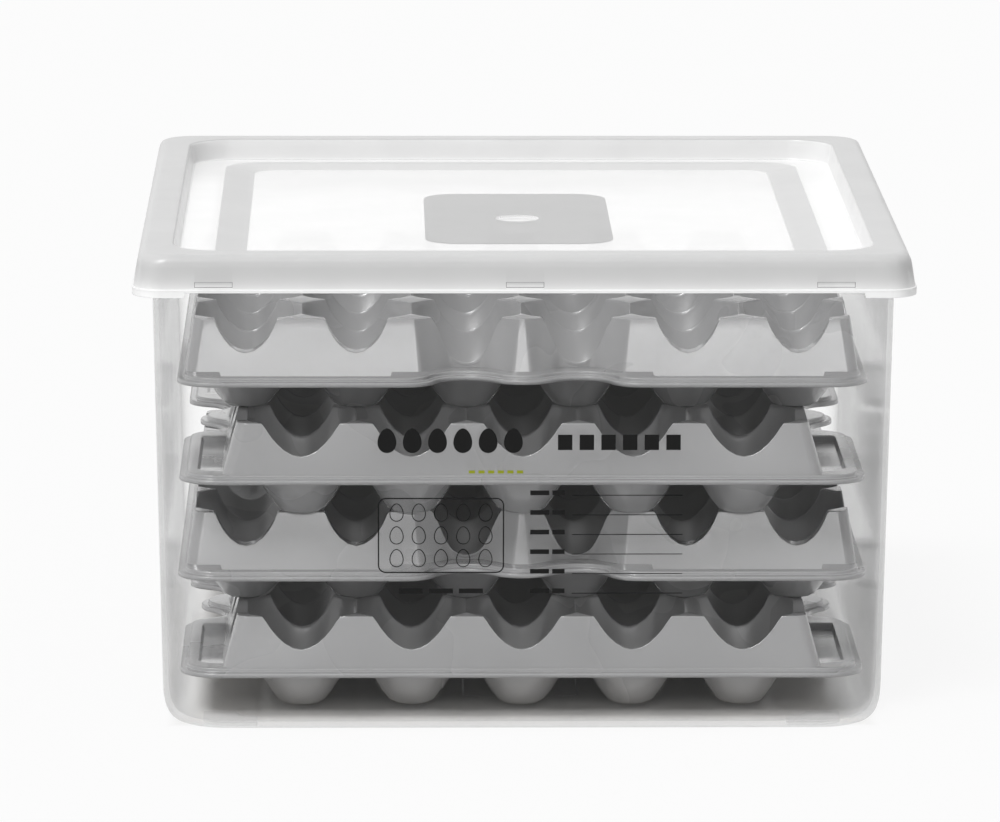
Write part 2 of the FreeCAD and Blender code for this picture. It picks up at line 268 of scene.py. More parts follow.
def weigh_normals(thing):
    """Keeps large faces flat beside small roundings."""
    modifier = thing.modifiers.new("weighted normals", "WEIGHTED_NORMAL")
    modifier.keep_sharp = True


def rounded_path(corners, steps):
    """Polyline of (point, cut, zone) corners with each corner rounded off; returns points and zones."""
    path = [np.array(c[0], float) for c in corners]
    points, zones = [path[0]], [corners[0][2]]
    for i in range(1, len(path) - 1):
        back, ahead = path[i - 1] - path[i], path[i + 1] - path[i]
        back_l, ahead_l = np.linalg.norm(back), np.linalg.norm(ahead)
        cut = min(corners[i][1], 0.49 * back_l, 0.49 * ahead_l)
        count = steps if cut > 0 else 0
        for k in range(count + 1):
            t = k / max(count, 1)
            points.append(path[i] + back / back_l * cut * (1 - t) ** 2 + ahead / ahead_l * cut * t ** 2)
            zones.append(corners[i - 1][2] if k < count / 2 else corners[i][2])
    points.append(path[-1])
    zones.append(corners[-1][2])
    return points, zones


def outline(half_x, half_y, radius, z, marks_x, marks_y, steps):
    """Ring of a rectangle with round corners, anticlockwise from its right side."""
    points = []
    flat_x, flat_y = half_x - radius, half_y - radius
    for turn in range(4):
        upright = turn % 2 == 0
        sign = 1 if turn < 2 else -1
        marks, flat = (marks_y, flat_y) if upright else (marks_x, flat_x)
        for mark in marks:
            along = min(max(mark, -flat), flat)
            if upright:
                points.append((sign * half_x, sign * along, z))
            else:
                points.append((-sign * along, sign * half_y, z))
        middle = [(flat_x, flat_y), (-flat_x, flat_y), (-flat_x, -flat_y), (flat_x, -flat_y)][turn]
        for k in range(steps + 1):
            angle = math.pi / 2 * (turn + k / steps)
            points.append((middle[0] + radius * math.cos(angle), middle[1] + radius * math.sin(angle), z))
    return np.array(points)


def grid_faces(rows, columns, closed, start=0):
    """Faces of a net of points, row after row."""
    faces = []
    for r in range(rows - 1):
        for c in range(columns if closed else columns - 1):
            d = (c + 1) % columns
            faces.append((start + r * columns + c, start + r * columns + d,
                          start + (r + 1) * columns + d, start + (r + 1) * columns + c))
    return faces


def swept(rings, zones):
    """Closed skin over rings that run once round a wall's section."""
    count = len(rings[0])
    points = np.concatenate(rings)
    faces = grid_faces(len(rings), count, True)
    kinds = [zones[r] for r in range(len(rings) - 1) for _ in range(count)]
    faces.append(tuple(range(count - 1, -1, -1)))
    kinds.append(zones[0])
    last = (len(rings) - 1) * count
    faces.append(tuple(range(last, last + count)))
    kinds.append(zones[-1])
    return points, faces, kinds


def skirt_inset(box, z):
    """How far the lid's skirt stands back from the footprint at height z."""
    lid_bottom = box.rim_z + box.lid_wall - box.lid_skirt
    return box.lid_hem + box.lid_lean * (z - lid_bottom) / box.lid_skirt


def wall_inset(box, z):
    """How far the box's wall stands back from the footprint at height z."""
    return box.overhang + (box.rim_z - z) * math.tan(box.draft)


def pad_faces(outlines, z0, z1):
    """Low blocks over flat outlines."""
    points, faces = [], []
    for ring in outlines:
        n, base = len(ring), len(points)
        points += [(x, y, z) for z in (z0, z1) for x, y in ring]
        faces.append(tuple(base + i for i in range(n - 1, -1, -1)))
        faces.append(tuple(base + n + i for i in range(n)))
        faces += [(base + i, base + (i + 1) % n, base + n + (i + 1) % n, base + n + i) for i in range(n)]
    return points, faces


def foot_outline(box):
    """L-shaped pad at the right rear corner."""
    half_w = box.half_w - wall_inset(box, box.foot) - box.bottom - 0.5 * MM
    half_d = box.half_d - wall_inset(box, box.foot) - box.bottom - 0.5 * MM
    width, run, outer, inner = 14 * MM, 23 * MM, 10 * MM, 8 * MM
    ring = [(half_w, half_d - run)]
    for k in range(9):
        a = math.pi / 16 * k
        ring.append((half_w - outer + outer * math.cos(a), half_d - outer + outer * math.sin(a)))
    ring += [(half_w - run, half_d), (half_w - run, half_d - width)]
    for k in range(9):
        a = math.pi / 2 - math.pi / 16 * k
        ring.append((half_w - width - inner + inner * math.cos(a),
                     half_d - width - inner + inner * math.sin(a)))
    ring.append((half_w - width, half_d - run))
    return ring


class EGGBOX_OT_container(bpy.types.Operator):
    """Builds the clear box with its rim and the pads under it"""

    bl_idname = "eggbox.container"
    bl_label = "Container"

    def execute(self, context):
        box = context.scene.egg_box
        floor_top = box.foot + box.floor
        rim, under = box.rim_z, box.rim_z - box.flange
        lid_gap = box.lid_wall + 0.6 * MM

        def at(inset, radius, z):
            return (box.half_w - inset, box.half_d - inset, radius, z)

        low, inner_low = wall_inset(box, box.foot), wall_inset(box, floor_top) + box.wall
        inner_r = box.corner - box.wall
        flange_r = box.lid_corner - lid_gap
        deep = box.bottom + 2 * MM
        corners = [
            (at(low + deep, box.corner - box.bottom, box.foot), 0, 0),
            (at(low, box.corner, box.foot), box.bottom * 1.6, 0),
            (at(wall_inset(box, under), box.corner, under), 1.0 * MM, 0),
            (at(skirt_inset(box, under) + lid_gap, flange_r, under), 0.9 * MM, 0),
            (at(skirt_inset(box, rim) + lid_gap, flange_r, rim), 1.2 * MM, 0),
            (at(wall_inset(box, rim) + box.wall, inner_r, rim), 1.2 * MM, 0),
            (at(inner_low, inner_r, floor_top), (box.bottom - box.wall) * 1.6, 0),
            (at(inner_low + deep, inner_r - box.bottom + box.wall, floor_top), 0, 0),
        ]
        path, zones = rounded_path(corners, 8)
        rings = [outline(*p, (0.0,), (0.0,), 16) for p in path]
        points, faces, kinds = swept(rings, zones)
        clear = clear_material("milky_clear", 0.7, 0.015, 0.75, 3.0, 0.12)
        body = piece("clear_box", points, faces, [clear], kinds)
        weigh_normals(body)
        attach(body, "container")
        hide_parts("container")
        foot = foot_outline(box)
        pads = []
        for sx in (-1, 1):
            for sy in (-1, 1):
                ring = [(sx * x, sy * y) for x, y in foot]
                pads.append(ring if sx * sy > 0 else ring[::-1])
        feet = piece("corner_pads", *pad_faces(pads, 0.0, box.foot - 0.05 * MM), [clear])
        for polygon in feet.data.polygons:
            polygon.use_smooth = False
        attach(feet, "container")
        half_w, near, far, line = 24.5 * MM, -107 * MM, -73 * MM, 0.5 * MM
        bars = [(-half_w, near, half_w, near + line),
                (-half_w, far - line, half_w, far),
                (-half_w, near + line, line - half_w, far - line),
                (half_w - line, near + line, half_w, far - line)]
        rings = [[(x0, y0), (x1, y0), (x1, y1), (x0, y1)] for x0, y0, x1, y1 in bars]
        mark = piece("base_mark", *pad_faces(rings, floor_top, floor_top + 0.15 * MM),
                     [clear_material("mark_edge", 0.3, 0.5, 0.4, 1.0, 0.3)])
        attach(mark, "container")
        return {"FINISHED"}


LID_CLEAR, LID_PATCH, LID_RIM, LID_BAND, LID_WELL, LID_WINDOW_SHADE = range(6)
LID_LEDGE_IN, LID_PANEL_IN = (129.5, 151.6, 18.0), (116.3, 142.7, 10.0)
LID_PANEL_UNDER = (100.0, 126.0, 10.0)
LID_PATCH_SIZE, LID_DIMPLE_SIZE = (40.0, 69.5, 14.0), (9.5, 9.5, 9.5)
HAIR = 1e-6


class EGGBOX_OT_lid(bpy.types.Operator):
    """Builds the lid with its rim, frosted band, patch, snap windows and pry corners"""

    bl_idname = "eggbox.lid"
    bl_label = "Lid"

    def execute(self, context):
        box = context.scene.egg_box
        top = box.rim_z + box.lid_wall
        bottom = top - box.lid_skirt
        ledge = top - box.lid_sunk
        panel = ledge - 2.5 * MM
        wall = box.lid_wall

        def skirt(z, inset):
            back = skirt_inset(box, z) + inset
            return (box.half_w - back, box.half_d - back, box.lid_corner - inset, z)

        # Grey of the lid's skirt, with painted shade and painted light: it darkens towards its top edge,
        # and faces that point up are painted lighter, as if lit from above.
        def skirt_painted_shade_and_light(sock):
            place = sock.add("ShaderNodeTexCoord", out="Object")
            z = sock.add("ShaderNodeSeparateXYZ", out="Z", inputs={"Vector": place})
            up = ((z - bottom) / box.lid_skirt).clamp()
            normal = sock.add("ShaderNodeNewGeometry", out="Normal")
            level = sock.add("ShaderNodeSeparateXYZ", out="Z", inputs={"Vector": normal}).clamp()
            return 0.5 + 0.34 * (1.0 - up) ** 4.0 + 0.08 * level

        def flat(half_x, half_y, radius, z, grow=0.0):
            return (half_x * MM + grow, half_y * MM + grow, radius * MM + grow, z)

        lip = [c - box.lid_rim for c in skirt(top, 0)[:2]]
        foot = [c - 1.5 * MM for c in lip]
        under_lip = [c + wall + 1.2 * MM for c in foot]
        hem = (box.half_w, box.half_d, box.lid_corner + box.lid_hem)
        window = (bottom + 2.5 * MM, bottom + 4.3 * MM)
        slope, dent_depth, relief, dimple_z = 0.25 * MM, 0.6 * MM, 0.3 * MM, panel - 0.8 * MM
        corners = [
            (flat(*LID_PANEL_UNDER, panel - wall), 0, LID_CLEAR),
            (flat(*LID_PANEL_IN, panel - wall, wall), 1 * MM, LID_BAND),
            (flat(*LID_LEDGE_IN, ledge - wall, wall), 1 * MM, LID_CLEAR),
            ((foot[0] + wall, foot[1] + wall, box.well_corner + wall, ledge - wall), 1.5 * MM, LID_RIM),
            ((*under_lip, box.well_corner + wall, box.rim_z), 1 * MM, LID_RIM),
            (skirt(box.rim_z, wall), 1 * MM, LID_RIM),
            (skirt(bottom, wall), 0.4 * MM, LID_RIM),
            ((*hem, bottom), 0.5 * MM, LID_RIM),
            ((*hem, bottom + 1.3 * MM), 0.4 * MM, LID_RIM),
            (skirt(bottom + 1.45 * MM, 0), 0.15 * MM, LID_RIM),
            (skirt(window[0] - slope, 0), 0, LID_RIM),
            (skirt(window[0], 0), 0, LID_RIM),
            (skirt(window[1], 0), 0, LID_RIM),
            (skirt(window[1] + slope, 0), 0, LID_RIM),
            (skirt(top, 0), 5.5 * MM, LID_RIM),
            ((*lip, box.well_corner, top), 1.2 * MM, LID_WELL),
            ((*foot, box.well_corner, ledge), 1.2 * MM, LID_CLEAR),
            (flat(*LID_LEDGE_IN, ledge), 0.8 * MM, LID_BAND),
            (flat(*LID_PANEL_IN, panel), 0.8 * MM, LID_CLEAR),
            (flat(*LID_PATCH_SIZE, panel, relief), 0, LID_PATCH),
            (flat(*LID_PATCH_SIZE, panel + relief), 0, LID_PATCH),
            (flat(*LID_DIMPLE_SIZE, panel + relief), relief, LID_CLEAR),
            (flat(*LID_DIMPLE_SIZE, dimple_z, -relief), 0, LID_CLEAR),
        ]
        path, zones = rounded_path(corners, 5)
        apart, half_window = 128.5 * MM, 7.65 * MM
        spans = [(step * apart - half_window, step * apart + half_window) for step in (-1, 0, 1)]
        window_marks = [m for a, b in spans for m in (a - slope, a, b, b + slope)]
        tab_run, tab_drop, tab_top = 22 * MM, 2 * MM, bottom + 0.45 * MM
        marks = {}
        for axis, half in (("x", box.half_w), ("y", box.half_d)):
            tabs = [s * (half - tab_run + d) for s in (-1, 1) for d in (-0.3 * MM, 0.3 * MM)]
            marks[axis] = sorted(window_marks + tabs)
        rings = [outline(*p, marks["x"], marks["y"], 12) for p in path]
        dents = np.zeros((len(rings), len(rings[0])), bool)
        for dent, ring, p in zip(dents, rings, path):
            z = p[3]
            if window[0] - HAIR <= z <= window[1] + HAIR and p[0] > box.half_w - wall:
                for k, point in enumerate(ring):
                    for axis, half in ((0, p[0]), (1, p[1])):
                        inside = any(a - HAIR <= point[1 - axis] <= b + HAIR for a, b in spans)
                        if inside and abs(abs(point[axis]) - half) < HAIR:
                            point[axis] -= math.copysign(dent_depth, point[axis])
                            dent[k] = True
            if z < tab_top:
                for point in ring:
                    if abs(point[0]) > box.half_w - tab_run and abs(point[1]) > box.half_d - tab_run:
                        point[2] -= tab_drop
        points, faces, kinds = swept(rings, zones)
        # Faces round each snap window's dent take a dark material: painted shade along the window's steps.
        around = dents * 1 + np.roll(dents, -1, axis=1)
        around = (around[:-1] + around[1:]).ravel()
        for k in np.flatnonzero((around > 0) & (around < 4)):
            kinds[k] = LID_WINDOW_SHADE
        materials = [
            clear_material("lid_clear", 0.97, 0.08, 0.92, 1.6, 0.12, 0.95),
            clear_material("lid_patch", 0.48, 0.4, 0.6, 1.0, 0.45, 0.95),
            # The rim and skirt take painted shade and painted light from their height and facing.
            clear_material("lid_rim", skirt_painted_shade_and_light, 0.75, 0.25, 1.0, 0.3, 0.95),
            clear_material("lid_band", 0.65, 0.4, 0.6, 1.0, 0.45, 0.95),
            clear_material("lid_well_wall", 0.88, 0.6, 0.4, 1.0, 0.2, 0.95),
            # Dark grey of the snap windows' steps: painted shade.
            clear_material("lid_window_shade", 0.2, 0.7, 0.3, 1.0, 0.3, 0.95),
        ]
        cover = piece("translucent_lid", points, faces, materials, kinds)
        weigh_normals(cover)
        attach(cover, "lid")
        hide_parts("lid")
        return {"FINISHED"}


class Printing:
    """Flat printing on the front wall, in millimetres across and up."""

    def __init__(self, box):
        self.box = box
        self.points = []
        self.faces = []

    def fill(self, path):
        """Closed shape."""
        base = len(self.points)
        for x, z in path:
            y = wall_inset(self.box, z * MM) - self.box.half_d - 0.12 * MM
            self.points.append((x * MM, y, z * MM))
        self.faces.append(tuple(range(base, base + len(path))))

    def bar(self, x0, x1, z, height):
        """Level bar that stands on a height."""
        self.fill([(x0, z), (x1, z), (x1, z + height), (x0, z + height)])

    def loop(self, path, width):
        """Closed line of even width."""
        path = np.array(path)
        tangent = np.roll(path, -1, axis=0) - np.roll(path, 1, axis=0)
        tangent /= np.linalg.norm(tangent, axis=1)[:, None]
        side = np.column_stack([-tangent[:, 1], tangent[:, 0]]) * width / 2
        inner, outer = path + side, path - side
        for k in range(len(path)):
            n = (k + 1) % len(path)
            self.fill([outer[k], outer[n], inner[n], inner[k]])


def egg_path(x, z, height):
    """Outline of an egg that stands on its round end."""
    path = []
    for k in range(28):
        a = math.tau * k / 28
        half_width = 0.37 * height * (1 - 0.16 * math.sin(a))
        path.append((x + half_width * math.cos(a), z + 0.5 * height * math.sin(a)))
    return path


def frame_path(x0, x1, z0, z1, radius):
    """Outline of a plain frame with round corners."""
    path = []
    for turn, (x, z) in enumerate(((x1, z1), (x0, z1), (x0, z0), (x1, z0))):
        for k in range(7):
            a = math.pi / 2 * (turn + k / 6)
            inward = (x - math.copysign(radius, x - (x0 + x1) / 2),
                      z - math.copysign(radius, z - (z0 + z1) / 2))
            path.append((inward[0] + radius * math.cos(a), inward[1] + radius * math.sin(a)))
    return path


class EGGBOX_OT_print(bpy.types.Operator):
    """Prints egg marks, a frame and write-on lines on the front wall"""

    bl_idname = "eggbox.print"
    bl_label = "Printing"

    def execute(self, context):
        box = context.scene.egg_box
        black, green = Printing(box), Printing(box)
        egg_gap, block_gap, tick_gap = 10.5, 9.0, 4.0
        for k in range(6):
            black.fill(egg_path(-57 + egg_gap * k, 125.5, 10.5))
            black.bar(14 + block_gap * k, 20 + block_gap * k, 121.5, 6.5)
            green.bar(-23 + tick_gap * k, -20.4 + tick_gap * k, 111.6, 1.3)
        black.loop(frame_path(-60.5, -8.5, 69.5, 101, 3.0), 0.55)
        small_gap, small_rise = 9.25, 9.7
        for row in range(3):
            for k in range(5):
                black.loop(egg_path(-53 + small_gap * k, 75.6 + small_rise * row, 7.4), 0.4)
        low_z, dash_gap, dash_height, line_rise = 60.6, 12.5, 2.0, 8.35
        for k in range(3):
            black.bar(-52 + dash_gap * k, -42 + dash_gap * k, low_z, dash_height)
        for k in range(6):
            z = low_z + line_rise * k
            black.bar(2.6, 10.5, z, dash_height)
            black.bar(11.8, 17.0, z, dash_height)
            black.bar(20.0, 66.0, z - 0.2, 0.35)
        colours = context.scene.egg_colours
        sheets = (("front_print", black, colours.ink), ("green_print", green, colours.small_ink))
        for name, ink, tint in sheets:
            sheet = piece(name, ink.points, ink.faces, [ink_material(name + "_ink", tint)])
            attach(sheet, "container")
        return {"FINISHED"}


class TrayShape:
    """Surface of one egg tray, in millimetres, with its cup bottoms at zero height."""

    def __init__(self, sizes):
        self.pitch = sizes.pitch / MM
        self.half = self.pitch / 2
        self.top = sizes.height / MM
        self.wall = sizes.wall / MM
        self.mouth = sizes.mouth_r / MM
        self.edge = sizes.edge / MM
        self.rim_edge = sizes.rim_edge / MM
        self.nx, self.ny = 6, 5
        self.cells_x, self.cells_y = self.nx * self.half, self.ny * self.half
        self.bottom_z = self.wall
        p = np.array([(sizes.bottom_r / MM, self.wall),
                      (self.half, sizes.saddle_z / MM),
                      (self.mouth, self.top)])
        a = 2 * (p[1:] - p[0])
        b = (p[1:] ** 2).sum(1) - (p[0] ** 2).sum()
        self.arc_r0, self.arc_z0 = np.linalg.solve(a, b)
        self.arc = np.hypot(*(p[0] - (self.arc_r0, self.arc_z0)))

    def bowl(self, r, grow):
        """Height of a cup's wall at a distance from its middle, with the cup grown by a width."""
        under = (self.arc + grow) ** 2 - (r - self.arc_r0) ** 2
        z = np.where(under > 0, self.arc_z0 - np.sqrt(np.maximum(under, 0)), self.top)
        z = np.where(r < self.arc_r0, self.bottom_z - grow, z)
        floor = self.bottom_z - grow
        return 0.5 * (z + floor + np.sqrt((z - floor) ** 2 + 2.0))

    def land(self, x, y, grow):
        """Height of the sharp-edged surface, with the outer cups drawn on outwards."""
        x = np.clip(x, -self.cells_x, self.cells_x)
        y = np.clip(y, -self.cells_y, self.cells_y)
        i = np.clip(np.floor((x + self.cells_x) / self.pitch), 0, self.nx - 1)
        j = np.clip(np.floor((y + self.cells_y) / self.pitch), 0, self.ny - 1)
        cx = (i + 0.5) * self.pitch - self.cells_x
        cy = (j + 0.5) * self.pitch - self.cells_y
        return np.minimum(self.bowl(np.hypot(x - cx, y - cy), grow), self.top - grow)

    def surface(self, x, y):
        """Height with the edges rounded by a ball that rolls inside the solid."""
        x, y = np.asarray(x, float), np.asarray(y, float)
        best = self.land(x, y, self.edge) + self.edge
        for share_out in (0.2, 0.4, 0.6, 0.75, 0.88, 0.96, 1.0):
            d = self.edge * share_out
            lift = math.sqrt(max(self.edge ** 2 - d ** 2, 0))
            for k in range(32):
                angle = math.pi / 16 * k
                around = self.land(x + d * math.cos(angle), y + d * math.sin(angle), self.edge)
                best = np.maximum(best, around + lift)
        return best


RIM_UNDER, RIM_STEP, RIM_BEAD, RIM_STEP_W, RIM_R = 16.3, 18.2, 19.8, 3.0, 16.0
RIM_X, RIM_Y = 145.0, 144.2
END_TOP, END_FOOT, SIDE_TOP, SIDE_FOOT, CORNER_R = -1.2, 2.5, 3.75, 10.75, 5.0
WAVE_DEPTH, WAVE_CREST, WAVE_PITCH = 16.7, 6.0, 49.0
RECESS_R, RECESS_TOP, RECESS_FOOT, NOSE_TOP, NOSE_FOOT = 21.5, 9.95, 5.65, 1.1, 4.25
WALL_LOW, POST_EDGE, POST_START = 17.0, 13.9, 13.8
LEDGE_TUCK, LEDGE_IN_Y, TROUGH_W = 3.0, 113.6, 9.0
CUP_SHARES, CUP_STEPS = (0.2, 0.31, 0.38, 0.52, 0.68, 0.83), (1.4, 0.75, 0.3)
WALL_SHARES = (0.5, 0.97, 1.0)
TROUGH_MARKS = ((127.2, 0), (126.6, 2), (110, 2), (92, 2), (74, 2), (55.4, 2), (54.8, 0), (50.0, 0))
SIDE_MARKS = (3.5, 7.0, 9.6, 11.4, 12.5, 13.0, 13.7, 18.0)
END_MARKS = (3.5, 7.0, 10.0, 12.2, 13.7, 14.6, 15.0, 15.5, 16.4, 19.5)


def side_marks(low, high, right=SIDE_MARKS):
    """Places along one side of a cell, closer together at the edges of its posts."""
    marks = [-m for m in reversed(right)] + [0.0] + list(right)
    return [low] + [m for m in marks if low + 1 < m < high - 1] + [high]


def meet(shape, top, foot):
    """Where each upright wall line from foot to top meets the surface."""
    low = np.full(len(top), RIM_UNDER)
    high = np.full(len(top), shape.top)
    for _ in range(15):
        mid = (low + high) / 2
        at = foot + (top - foot) * ((mid - RIM_UNDER) / (shape.top - RIM_UNDER))[:, None]
        over = shape.surface(at[:, 0], at[:, 1]) > mid
        low, high = np.where(over, mid, low), np.where(over, high, mid)
    at = foot + (top - foot) * ((low - RIM_UNDER) / (shape.top - RIM_UNDER))[:, None]
    return np.column_stack([at, low])


def recess_lines(shape):
    """Wall lines of a finger recess, left to right: top x, top y, foot x, foot y from the cup's middle."""
    half = shape.half
    top_y, foot_y = half + SIDE_TOP, half + SIDE_FOOT
    right = [
        ((RECESS_TOP, RECESS_R, RECESS_FOOT, RECESS_R), 3.0, 0),
        ((half - NOSE_TOP, top_y, half - NOSE_FOOT, foot_y), 1.6, 0),
        ((half, top_y, half, foot_y), 0, 0),
    ]
    left = [((-a, b, -c, d), cut, zone) for (a, b, c, d), cut, zone in reversed(right)]
    path, _ = rounded_path(left + right, 4)
    lines = [path[0]]
    for a, b in zip(path, path[1:]):
        count = max(1, int(np.linalg.norm(b - a) / 2.6))
        lines += [a + (b - a) * (k + 1) / count for k in range(count)]
    return np.array(lines)


def tray_stations(shape):
    """Lines of the walls along each outer side of a cell: start on the cell, wall top and wall foot."""
    cx, cy, half = shape.cells_x, shape.cells_y, shape.half
    sides = {}
    for j in range(shape.ny):
        y = (j + 0.5) * shape.pitch - cy + np.array(side_marks(-half, half, END_MARKS))
        top = np.column_stack([np.full(len(y), cx + END_TOP), y])
        foot = np.column_stack([np.full(len(y), cx + END_FOOT), y])
        edge = meet(shape, top, foot)
        start = np.column_stack([edge[:, 0] - 1.0, y])
        sides["end", j] = (start, top, foot)
    corner_x = cx + END_TOP - 1.0
    for i in range(shape.nx):
        mid_x = (i + 0.5) * shape.pitch - cx
        if i in (shape.nx // 2 - 1, shape.nx // 2):
            lines = recess_lines(shape)
            top = lines[:, :2] + (mid_x, cy - half)
            foot = lines[:, 2:] + (mid_x, cy - half)
            edge = meet(shape, top, foot)
            away = edge[:, :2] - (mid_x, cy - half)
            start = edge[:, :2] - away / np.linalg.norm(away, axis=1)[:, None]
            flat = np.abs(lines[:, 0]) > POST_EDGE
            spread = (np.abs(lines[:, 0]) - POST_EDGE) / (half - POST_EDGE)
            along = np.sign(lines[:, 0]) * (POST_START + spread * (half - POST_START))
            on_post = np.column_stack([along + mid_x, np.full(len(lines), cy)])
            start = np.where(flat[:, None], on_post, start)
        else:
            low = corner_x * -1 - mid_x if i == 0 else -half
            high = corner_x - mid_x if i == shape.nx - 1 else half
            x = mid_x + np.array(side_marks(low, high))
            start = np.column_stack([x, np.full(len(x), cy)])
            top = np.column_stack([x, np.full(len(x), cy + SIDE_TOP)])
            foot = np.column_stack([x, np.full(len(x), cy + SIDE_FOOT)])
        sides["side", i] = (start, top, foot)
    return sides


def tray_cell(shape, boundary, middle):
    """Net of one cup inside its boundary, as points and faces."""
    reach = np.linalg.norm(boundary, axis=1)
    ray = boundary / reach[:, None]
    rim = np.minimum(reach, shape.mouth)
    rows = [rim * f for f in CUP_SHARES]
    rows += [rim - d for d in CUP_STEPS] + [rim, np.minimum(rim + 0.4, reach), reach]
    flat = np.concatenate([ray * r[:, None] for r in rows]) + middle
    flat = np.vstack([flat, middle])
    points = np.column_stack([flat, shape.surface(flat[:, 0], flat[:, 1])])
    n = len(boundary)
    faces = [f[::-1] for f in grid_faces(len(rows), n, True)]
    hub = len(points) - 1
    faces += [(hub, k, (k + 1) % n) for k in range(n)]
    return points, faces


def wall_strip(shape, start, top, foot):
    """Net from the cells over the rounded edge and down the walls, one row of points per line."""
    z = shape.surface(start[:, 0], start[:, 1])
    p0 = np.column_stack([start, z])
    p1 = meet(shape, top, foot)
    at = foot + (top - foot) * (WALL_LOW - RIM_UNDER) / (shape.top - RIM_UNDER)
    p2 = np.column_stack([at, np.full(len(at), WALL_LOW)])
    a, c = p0 - p1, p2 - p1
    len_a, len_c = np.linalg.norm(a, axis=1), np.linalg.norm(c, axis=1)
    a, c = a / len_a[:, None], c / len_c[:, None]
    gap = np.arccos(np.clip((a * c).sum(1), -1, 1))
    cut = np.minimum(np.minimum(shape.rim_edge / np.tan(gap / 2), 0.85 * len_a), 0.5 * len_c)
    bisector = a + c
    bisector /= np.linalg.norm(bisector, axis=1)[:, None]
    centre = p1 + bisector * (cut / np.cos(gap / 2))[:, None]
    v0, v1 = p1 + a * cut[:, None] - centre, p1 + c * cut[:, None] - centre
    turn = math.pi - gap
    rows = [p0]
    for k in range(6):
        t = k / 5
        rows.append(centre + (v0 * np.sin((1 - t) * turn)[:, None] + v1 * np.sin(t * turn)[:, None])
                    / np.sin(turn)[:, None])
    rows += [rows[-1] + (p2 - rows[-1]) * f for f in WALL_SHARES]
    return np.stack(rows, axis=1)


def rim_lines(shape):
    """Lines across the rim, anticlockwise: outer edge, bead edge, two ledge points, inner end, depth."""
    lines = []
    in_x, in_y = shape.cells_x - LEDGE_TUCK, LEDGE_IN_Y
    flat_x, flat_y = RIM_X - RIM_R, RIM_Y - RIM_R
    bead_y = RIM_Y - RIM_STEP_W
    trough = shape.cells_y + SIDE_FOOT + TROUGH_W

    def line(outer, bead, near, far, inner, depth=0.0):
        lines.append(np.array([*outer, *bead, *near, *far, *inner, depth]))

    def level(outer, bead, inner, near=0.3, far=0.35):
        line(outer, bead, bead + (inner - bead) * near, bead + (inner - bead) * far, inner)

    def corner(side, steps):
        hub = np.array([side * flat_x, flat_y])
        for k in steps:
            a = math.pi / 16 * k
            ray = np.array([side * math.cos(a), math.sin(a)])
            level(hub + ray * RIM_R, hub + ray * (RIM_R - RIM_STEP_W), np.array([side * in_x, in_y]))

    def sunk(side, marks):
        for mark, depth in marks:
            x = side * mark
            line((x, RIM_Y), (x, bead_y), (x, trough + 0.5), (x, trough - 0.3), (x, in_y), depth)

    dip = WAVE_PITCH / 2
    right = [(WAVE_PITCH, 0.0), (dip, WAVE_DEPTH)]
    wave = [*right, (0.0, WAVE_CREST), *((-x, depth) for x, depth in reversed(right))]
    for half_turn in (1, -1):
        first = len(lines)
        for y in np.linspace(-flat_y, flat_y, 12):
            inner = np.array([in_x, min(max(y, -in_y), in_y)])
            level((RIM_X, y), np.array([RIM_X - RIM_STEP_W, y]), inner)
        corner(1, range(1, 9))
        sunk(1, TROUGH_MARKS)
        for (x0, depth0), (x1, depth1) in zip(wave, wave[1:]):
            fall = depth1 - depth0
            bend = ((x1 - x0) ** 2 + fall ** 2) / (4 * abs(fall))
            bulge = math.copysign(1, fall)
            sweep = math.atan2(x0 - x1, 2 * bend - abs(fall))
            first_hub = np.array([x0, RIM_Y - depth0 - bulge * bend])
            second_hub = np.array([x1, RIM_Y - depth1 + bulge * bend])
            for s in range(1, 13):
                hub, side, way, a = first_hub, bulge, -1, s / 6
                if s > 6:
                    hub, side, way, a = second_hub, -bulge, 1, 2 - s / 6
                ray = np.array([way * math.sin(a * sweep), side * math.cos(a * sweep)])
                bead = hub + ray * (bend - side * RIM_STEP_W)
                level(hub + ray * bend, bead, np.array([bead[0], in_y]), far=0.4)
        sunk(-1, TROUGH_MARKS[::-1])
        corner(-1, range(8, 0, -1))
        if half_turn == -1:
            for row in lines[first:]:
                row[:10] *= -1
    return lines


def rim_strip(shape):
    """Net over the tray's stepped rim and ledge."""
    rows = []
    for line in rim_lines(shape):
        outer, bead, near, far, inner = line[:10].reshape(5, 2)
        low = RIM_BEAD - line[10]
        corners = [
            ((*outer, RIM_UNDER), 0, 0),
            ((*outer, RIM_STEP), 0.7, 0),
            ((*bead, RIM_STEP), 0.5, 0),
            ((*bead, RIM_BEAD), 0.7, 0),
            ((*near, RIM_BEAD), 0.25, 0),
            ((*far, low), 0.25, 0),
            ((*inner, low), 0, 0),
        ]
        rows.append(rounded_path(corners, 3)[0])
    return np.array(rows)


